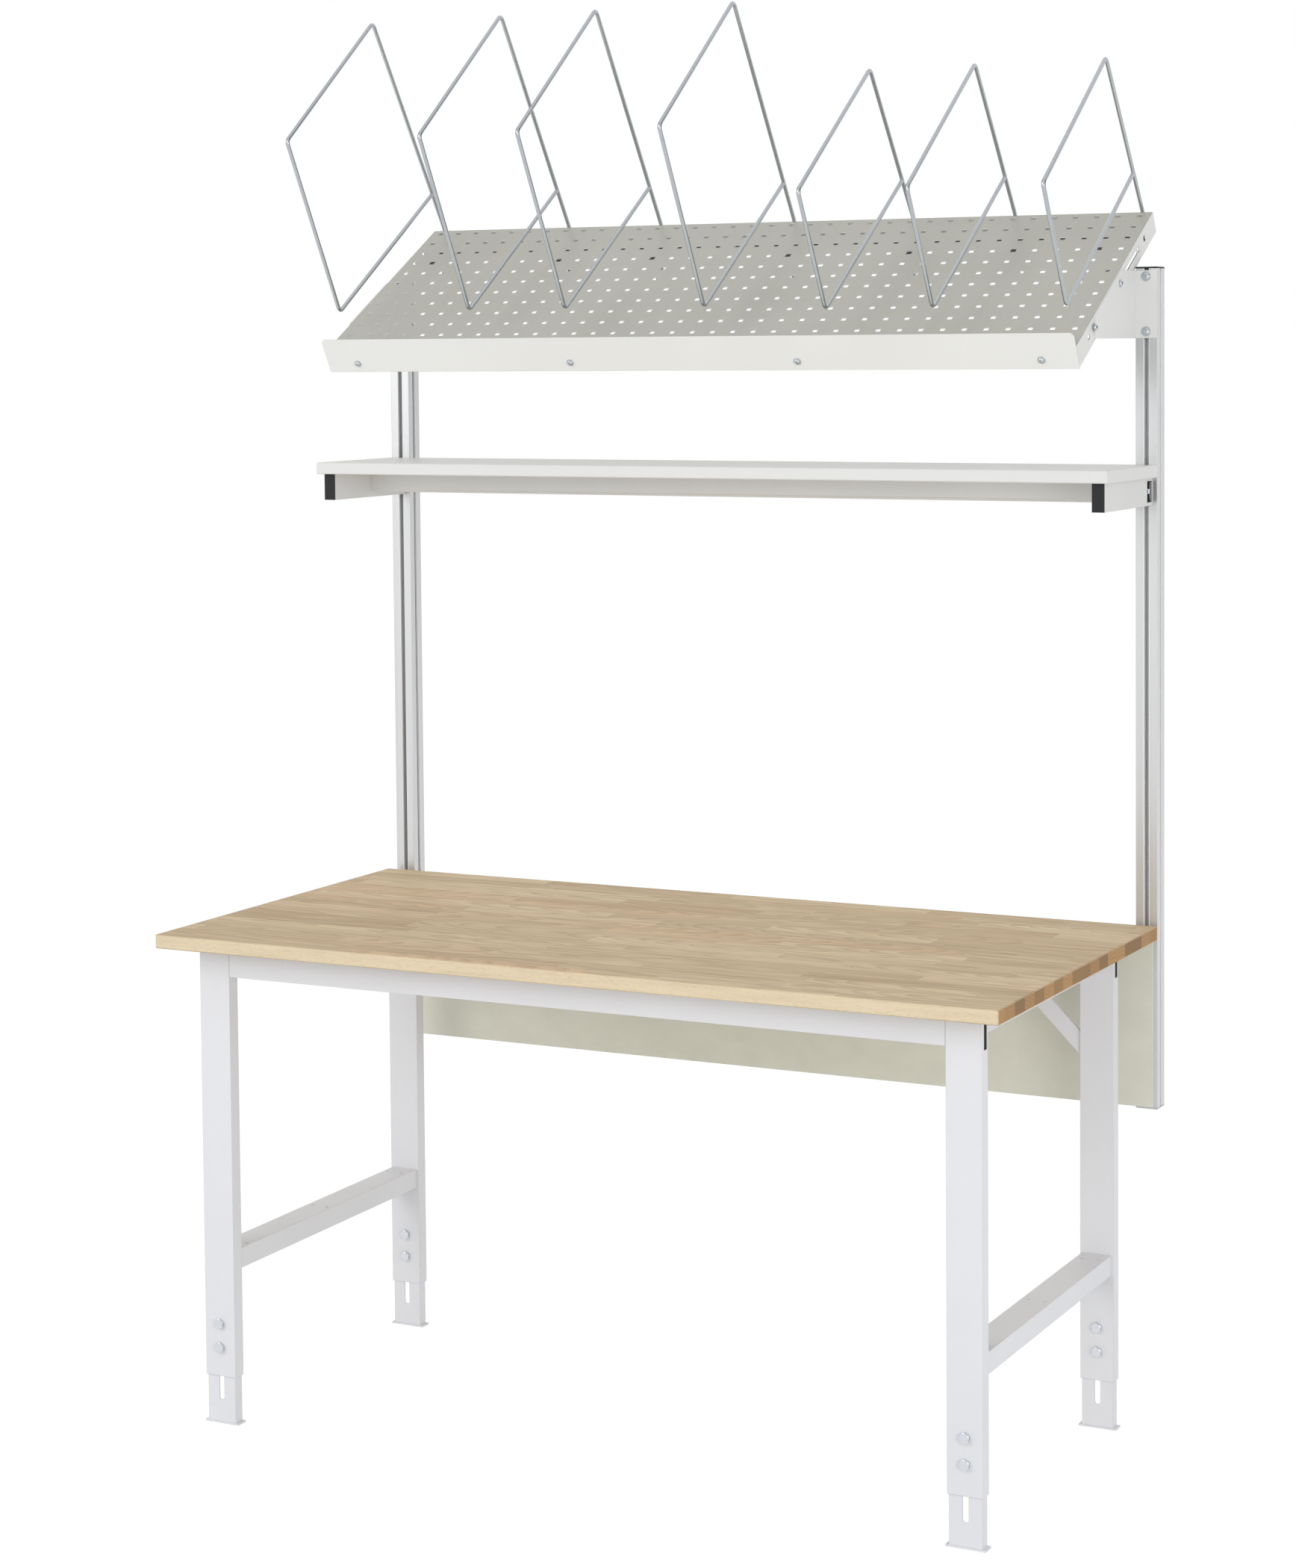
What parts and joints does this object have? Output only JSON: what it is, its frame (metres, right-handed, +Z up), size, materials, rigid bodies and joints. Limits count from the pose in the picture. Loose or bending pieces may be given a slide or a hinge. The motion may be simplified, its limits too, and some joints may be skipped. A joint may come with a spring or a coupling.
{
  "type": "packing table",
  "caption": "Packing workbench with beech top, height-adjustable legs, two slotted uprights, a shelf and a sloping perforated tray with wire carton dividers.",
  "frame": {"origin": "on the floor, at the middle of the whole object's footprint", "axes": "+X along the bench to the right, +Y from the front edge to the uprights, +Z up"},
  "size_m": [1.6, 0.9628, 2.5683],
  "materials": {
    "beech": "oiled solid beech, butcher-block staves",
    "frame_paint": "light grey powder coat",
    "tray_paint": "warm light grey powder coat",
    "shelf_paint": "white-grey powder coat",
    "board_facing": "wood-based board with a white-grey hard facing and edge band",
    "panel_paint": "pale grey-green powder coat",
    "aluminium": "satin anodised",
    "zinc_wire": "bright zinc-plated wire",
    "zinc_fasteners": "bright zinc plate",
    "grey_plastic": "moulded light grey",
    "black_plastic": "moulded black"
  },
  "bodies": {
    "frame": {"tabletop": "beech", "front_rail": "frame_paint", "rear_rail": "frame_paint", "clamp_bolts": "zinc_fasteners", "clamp_plates": "zinc_fasteners", "upright_mount_bolts": "zinc_fasteners", "back_panel": "panel_paint", "leg_tube_front_left": "frame_paint", "leg_tube_front_right": "frame_paint", "leg_tube_rear_left": "frame_paint", "leg_tube_rear_right": "frame_paint", "top_side_rail_left": "frame_paint", "low_side_rail_left": "frame_paint", "rear_brace_left": "frame_paint", "upright_left": "aluminium", "upright_top_cap_left": "black_plastic", "upright_bottom_cap_left": "grey_plastic", "upright_mount_left": "frame_paint", "top_side_rail_right": "frame_paint", "low_side_rail_right": "frame_paint", "rear_brace_right": "frame_paint", "upright_right": "aluminium", "upright_top_cap_right": "black_plastic", "upright_bottom_cap_right": "grey_plastic", "upright_mount_right": "frame_paint"},
    "shelf_carrier": {"shelf_board": "board_facing", "shelf_rail": "shelf_paint", "shelf_bolts": "zinc_fasteners", "shelf_arm_left": "shelf_paint", "shelf_arm_right": "shelf_paint", "shelf_arm_cap_left": "black_plastic", "shelf_arm_cap_right": "black_plastic"},
    "tray_carrier": {"tray": "tray_paint", "front_lip": "tray_paint", "bracket_bolts": "zinc_fasteners", "tray_bracket_left": "tray_paint", "tray_bracket_right": "tray_paint", "divider_plugs": "black_plastic", "divider_1": "zinc_wire", "divider_2": "zinc_wire", "divider_3": "zinc_wire", "divider_4": "zinc_wire", "divider_5": "zinc_wire", "divider_6": "zinc_wire", "divider_7": "zinc_wire"},
    "foot_front_left": {"inner_leg_front_left": "frame_paint", "foot_plate_front_left": "frame_paint"},
    "foot_front_right": {"inner_leg_front_right": "frame_paint", "foot_plate_front_right": "frame_paint"},
    "foot_rear_left": {"inner_leg_rear_left": "frame_paint", "foot_plate_rear_left": "frame_paint"},
    "foot_rear_right": {"inner_leg_rear_right": "frame_paint", "foot_plate_rear_right": "frame_paint"}
  },
  "joints": [
    {"name": "leg_front_left_slide", "type": "slide", "parent": "frame", "child": "foot_front_left", "axis": [0, 0, -1], "range_m": [-0.083, 0.21]},
    {"name": "leg_front_right_slide", "type": "slide", "parent": "frame", "child": "foot_front_right", "axis": [0, 0, -1], "range_m": [-0.083, 0.21]},
    {"name": "leg_rear_left_slide", "type": "slide", "parent": "frame", "child": "foot_rear_left", "axis": [0, 0, -1], "range_m": [-0.083, 0.21]},
    {"name": "leg_rear_right_slide", "type": "slide", "parent": "frame", "child": "foot_rear_right", "axis": [0, 0, -1], "range_m": [-0.083, 0.21]},
    {"name": "shelf_height_slide", "type": "slide", "parent": "frame", "child": "shelf_carrier", "axis": [0, 0, 1], "range_m": [-0.74, 0.06]},
    {"name": "tray_height_slide", "type": "slide", "parent": "frame", "child": "tray_carrier", "axis": [0, 0, 1], "range_m": [-0.1, 0]}
  ]
}
